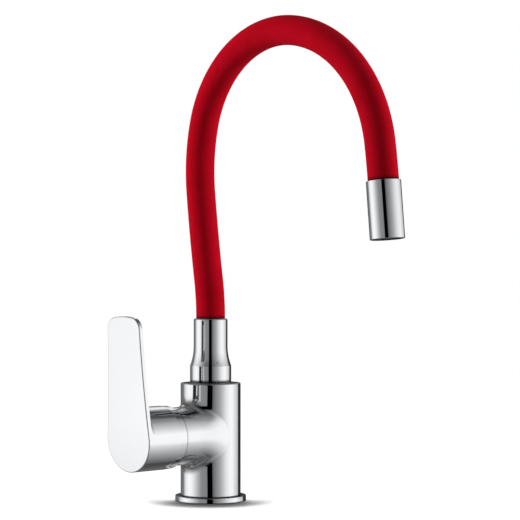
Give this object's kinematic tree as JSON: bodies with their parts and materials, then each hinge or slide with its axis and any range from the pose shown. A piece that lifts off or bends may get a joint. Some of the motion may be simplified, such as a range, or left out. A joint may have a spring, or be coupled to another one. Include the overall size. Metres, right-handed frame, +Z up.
{
  "type": "single-lever kitchen tap with flexible spout",
  "caption": "Single-lever sink tap: chrome body with a side paddle lever, and a swivelling gooseneck spout hose in a red rubber sleeve with an aerator nozzle.",
  "frame": {"origin": "centre of the base ring's underside, on the sink deck, on the column's axis", "axes": "+Z up along the column, +X the way the spout reaches at rest, -Y out along the lever's branch"},
  "size_m": [0.2299, 0.1189, 0.3768],
  "materials": {
    "chrome": "mirror polished chrome plate",
    "brass": "turned",
    "steel": "bright drawn",
    "red_silicone": "matte moulded",
    "black_rubber": "matte",
    "grey_plastic": "moulded",
    "hose_plastic": "extruded",
    "ceramic": "lapped"
  },
  "bodies": {
    "base": {"faucet_body": "chrome", "base_ring": "chrome", "base_seal": "black_rubber", "cartridge_base": "grey_plastic", "port_seals": "black_rubber", "fixed_disc": "ceramic", "cartridge_shell": "grey_plastic", "cartridge_nut": "brass", "dome_cap": "chrome", "swivel_washer": "grey_plastic", "swivel_screw": "steel"},
    "rotor": {"stem_guide": "grey_plastic", "stem_pin": "steel"},
    "lever": {"stem": "steel", "lever_handle": "chrome", "lever_grub_screw": "steel", "screw_plug": "grey_plastic"},
    "valve_disc": {"moving_disc": "ceramic", "disc_carrier": "grey_plastic"},
    "spout": {"spout_collar": "chrome", "spout_nipple": "brass", "spout_o_rings": "black_rubber", "lower_ferrule": "steel", "neck_bush": "brass", "gooseneck_link_1": "steel", "spout_sleeve": "red_silicone", "water_hose": "hose_plastic"},
    "link_2": {"gooseneck_link_2": "steel"},
    "link_3": {"gooseneck_link_3": "steel"},
    "link_4": {"gooseneck_link_4": "steel"},
    "link_5": {"gooseneck_link_5": "steel"},
    "link_6": {"gooseneck_link_6": "steel"},
    "link_7": {"gooseneck_link_7": "steel"},
    "link_8": {"gooseneck_link_8": "steel"},
    "nozzle": {"gooseneck_link_9": "steel", "nozzle_shell": "chrome", "nozzle_bush": "grey_plastic", "upper_ferrule": "steel", "outlet_nipple": "brass", "aerator_washer": "black_rubber", "aerator_housing": "grey_plastic", "aerator_insert": "grey_plastic", "aerator_screen": "steel"}
  },
  "joints": [
    {"name": "spout_swivel", "type": "hinge", "parent": "base", "child": "spout", "pos_m": [0, 0, 0.0935], "axis": [0, 0, 1], "continuous": true},
    {"name": "spout_bend_1", "type": "hinge", "parent": "spout", "child": "link_2", "pos_m": [-0.00197, 0, 0.17174], "axis": [0, 1, 0], "range_deg": [-20, 8], "deforming": ["spout_sleeve", "water_hose"]},
    {"name": "spout_bend_2", "type": "hinge", "parent": "link_2", "child": "link_3", "pos_m": [-0.0097, 0, 0.22745], "axis": [0, 1, 0], "range_deg": [-20, 8], "deforming": ["spout_sleeve", "water_hose"]},
    {"name": "spout_bend_3", "type": "hinge", "parent": "link_3", "child": "link_4", "pos_m": [-0.01058, 0, 0.28348], "axis": [0, 1, 0], "range_deg": [-20, 8], "deforming": ["spout_sleeve", "water_hose"]},
    {"name": "spout_bend_4", "type": "hinge", "parent": "link_4", "child": "link_5", "pos_m": [0.01144, 0, 0.33438], "axis": [0, 1, 0], "range_deg": [-20, 8], "deforming": ["spout_sleeve", "water_hose"]},
    {"name": "spout_bend_5", "type": "hinge", "parent": "link_5", "child": "link_6", "pos_m": [0.05881, 0, 0.36298], "axis": [0, 1, 0], "range_deg": [-20, 8], "deforming": ["spout_sleeve", "water_hose"]},
    {"name": "spout_bend_6", "type": "hinge", "parent": "link_6", "child": "link_7", "pos_m": [0.1141, 0, 0.35878], "axis": [0, 1, 0], "range_deg": [-20, 8], "deforming": ["spout_sleeve", "water_hose"]},
    {"name": "spout_bend_7", "type": "hinge", "parent": "link_7", "child": "link_8", "pos_m": [0.15927, 0, 0.32637], "axis": [0, 1, 0], "range_deg": [-20, 8], "deforming": ["spout_sleeve", "water_hose"]},
    {"name": "spout_bend_8", "type": "hinge", "parent": "link_8", "child": "nozzle", "pos_m": [0.18175, 0, 0.27553], "axis": [0, 1, 0], "range_deg": [-20, 8], "deforming": ["spout_sleeve", "water_hose"]},
    {"name": "temperature", "type": "hinge", "parent": "base", "child": "rotor", "pos_m": [0, -0.042, 0.0525], "axis": [0, -1, 0], "range_deg": [-45, 45]},
    {"name": "lever_lift", "type": "hinge", "parent": "rotor", "child": "lever", "pos_m": [0, -0.042, 0.0525], "axis": [1, 0, 0], "range_deg": [0, 25]},
    {"name": "valve_slide", "type": "slide", "parent": "rotor", "child": "valve_disc", "axis": [0, 0, 1], "range_m": [0, 0.0032]}
  ],
  "couplings": [
    {"joint": "valve_slide", "follows": "lever_lift", "m_per_rad": 0.0072643}
  ]
}
